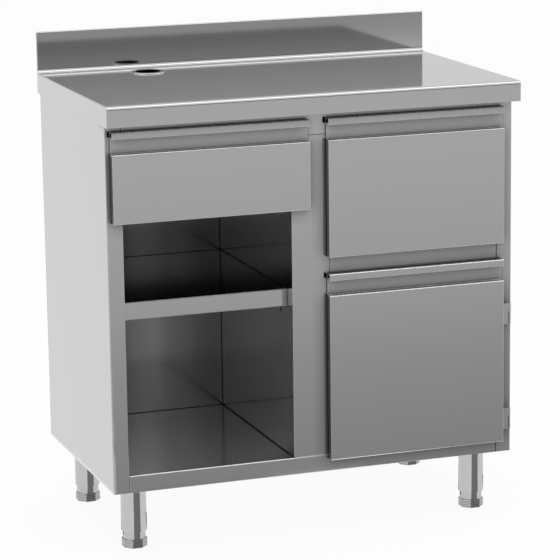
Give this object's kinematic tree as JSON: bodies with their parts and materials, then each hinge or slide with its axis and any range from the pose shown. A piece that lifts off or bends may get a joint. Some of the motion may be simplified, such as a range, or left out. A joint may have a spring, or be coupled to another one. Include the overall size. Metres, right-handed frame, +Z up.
{
  "type": "waiter service station",
  "caption": "Stainless steel service counter with rear upstand, cable outlet, open niche with shelf, two drawers, a hinged door and four legs with screw-out feet.",
  "frame": {"origin": "on the floor, under the middle of the worktop", "axes": "+X to the right seen from the front, +Y to the rear, +Z up"},
  "size_m": [1, 0.6, 1.15],
  "materials": {
    "stainless_steel": "satin",
    "worktop_steel": "satin",
    "polished_steel": "polished",
    "zinc_steel": "zinc plated",
    "black_plastic": "moulded",
    "rubber": "matt"
  },
  "bodies": {
    "carcass": {"worktop": "worktop_steel", "worktop_stiffeners": "stainless_steel", "worktop_bolts": "zinc_steel", "cable_grommet": "polished_steel", "side_panel_left": "stainless_steel", "side_panel_right": "stainless_steel", "bottom_panel": "stainless_steel", "back_panel": "stainless_steel", "centre_divider": "stainless_steel", "top_front_rail": "stainless_steel", "drawer_door_rail": "stainless_steel", "top_rear_rail": "stainless_steel", "middle_shelf": "stainless_steel", "shelf_clips": "stainless_steel", "left_runner_bracket": "stainless_steel", "right_runner_bracket": "stainless_steel", "left_drawer_outer_rails": "zinc_steel", "right_drawer_outer_rails": "zinc_steel", "runner_screws": "zinc_steel", "hinge_frame_knuckles": "polished_steel", "hinge_pins": "polished_steel", "hinge_frame_screws": "zinc_steel", "magnetic_catch": "black_plastic", "leg_channels": "stainless_steel", "leg_plates": "zinc_steel", "leg_bolts": "zinc_steel", "leg_inserts": "black_plastic", "leg_front_left": "polished_steel", "leg_front_right": "polished_steel", "leg_rear_left": "polished_steel", "leg_rear_right": "polished_steel"},
    "left_drawer": {"left_drawer_front": "stainless_steel", "left_drawer_liner": "stainless_steel", "left_drawer_box": "stainless_steel", "left_drawer_box_ends": "stainless_steel", "left_drawer_screws": "zinc_steel", "left_drawer_buffers": "rubber", "left_drawer_inner_rails": "zinc_steel"},
    "left_drawer_runners": {"left_drawer_middle_rails": "zinc_steel"},
    "right_drawer": {"right_drawer_front": "stainless_steel", "right_drawer_liner": "stainless_steel", "right_drawer_box": "stainless_steel", "right_drawer_box_ends": "stainless_steel", "right_drawer_screws": "zinc_steel", "right_drawer_buffers": "rubber", "right_drawer_inner_rails": "zinc_steel"},
    "right_drawer_runners": {"right_drawer_middle_rails": "zinc_steel"},
    "door": {"door_front": "stainless_steel", "door_liner": "stainless_steel", "door_hinge_leaf_upper": "polished_steel", "door_hinge_leaf_lower": "polished_steel", "door_hinge_screws": "zinc_steel", "door_buffers": "rubber", "door_catch_plate": "stainless_steel"},
    "foot_front_left_body": {"foot_front_left": "polished_steel"},
    "foot_front_right_body": {"foot_front_right": "polished_steel"},
    "foot_rear_left_body": {"foot_rear_left": "polished_steel"},
    "foot_rear_right_body": {"foot_rear_right": "polished_steel"}
  },
  "joints": [
    {"name": "left_drawer_slide", "type": "slide", "parent": "carcass", "child": "left_drawer", "axis": [0, -1, 0], "range_m": [0, 0.45]},
    {"name": "left_runner_slide", "type": "slide", "parent": "carcass", "child": "left_drawer_runners", "axis": [0, -1, 0], "range_m": [0, 0.225]},
    {"name": "right_drawer_slide", "type": "slide", "parent": "carcass", "child": "right_drawer", "axis": [0, -1, 0], "range_m": [0, 0.45]},
    {"name": "right_runner_slide", "type": "slide", "parent": "carcass", "child": "right_drawer_runners", "axis": [0, -1, 0], "range_m": [0, 0.225]},
    {"name": "door_hinge", "type": "hinge", "parent": "carcass", "child": "door", "pos_m": [0.4837, -0.2762, 0.211], "axis": [0, 0, 1], "range_deg": [0, 170]},
    {"name": "foot_front_left_screw", "type": "slide", "parent": "carcass", "child": "foot_front_left_body", "axis": [0, 0, -1], "range_m": [0, 0.025]},
    {"name": "foot_front_right_screw", "type": "slide", "parent": "carcass", "child": "foot_front_right_body", "axis": [0, 0, -1], "range_m": [0, 0.025]},
    {"name": "foot_rear_left_screw", "type": "slide", "parent": "carcass", "child": "foot_rear_left_body", "axis": [0, 0, -1], "range_m": [0, 0.025]},
    {"name": "foot_rear_right_screw", "type": "slide", "parent": "carcass", "child": "foot_rear_right_body", "axis": [0, 0, -1], "range_m": [0, 0.025]}
  ],
  "couplings": [
    {"joint": "left_runner_slide", "follows": "left_drawer_slide", "ratio": 0.5},
    {"joint": "right_runner_slide", "follows": "right_drawer_slide", "ratio": 0.5}
  ]
}
